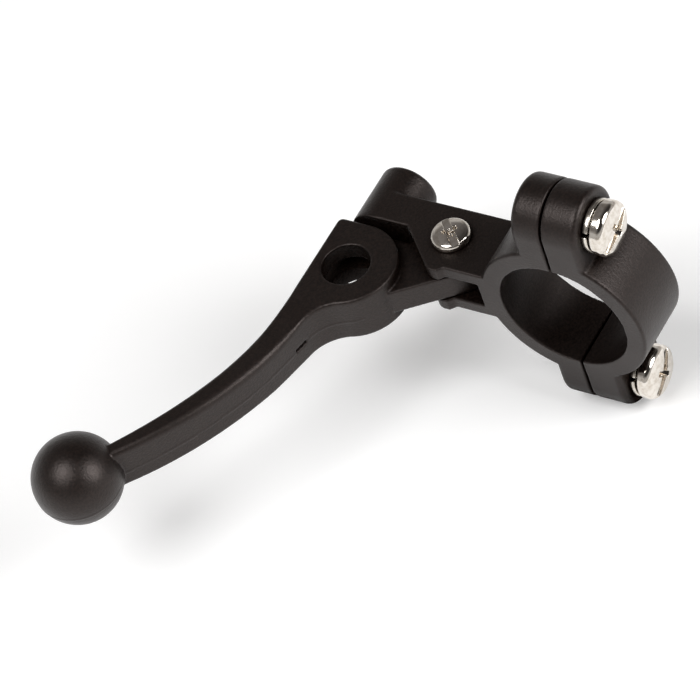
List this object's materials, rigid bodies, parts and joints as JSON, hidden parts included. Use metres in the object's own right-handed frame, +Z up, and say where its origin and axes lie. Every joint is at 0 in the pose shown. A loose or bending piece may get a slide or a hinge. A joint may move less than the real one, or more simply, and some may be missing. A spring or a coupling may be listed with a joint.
{
  "type": "clutch lever",
  "caption": "Black cast clutch lever with a ball tip, pivoting in a forked bracket with a cable barrel and a split clamp for a 22.2 mm handlebar.",
  "frame": {"origin": "centre of the handlebar bore, half way along the clamp ring", "axes": "+X along the handlebar, away from the lever's ball; +Y forward, from the bar to the pivot; +Z up along the pivot screw, towards its head"},
  "size_m": [0.0775, 0.083, 0.0476],
  "materials": {
    "black_casting": "matte black coating on die-cast alloy, with a fine grain",
    "black_lever": "matte black coating on die-cast alloy, a little smoother by handling",
    "bright_screw": "bright nickel plate",
    "spring_steel": "zinc-plated spring steel",
    "bush_steel": "turned steel, oiled"
  },
  "bodies": {
    "bracket": {"clamp_bracket": "black_casting", "clamp_cap": "black_casting", "pivot_screw": "bright_screw", "pivot_bush": "bush_steel", "clamp_screw_upper": "bright_screw", "clamp_screw_lower": "bright_screw", "spring_washer_upper": "spring_steel", "spring_washer_lower": "spring_steel"},
    "lever": {"lever": "black_lever"}
  },
  "joints": [
    {"name": "lever_pivot", "type": "hinge", "parent": "bracket", "child": "lever", "pos_m": [0, 0.0223, 0], "axis": [0, 0, 1], "range_deg": [-3, 31]}
  ]
}
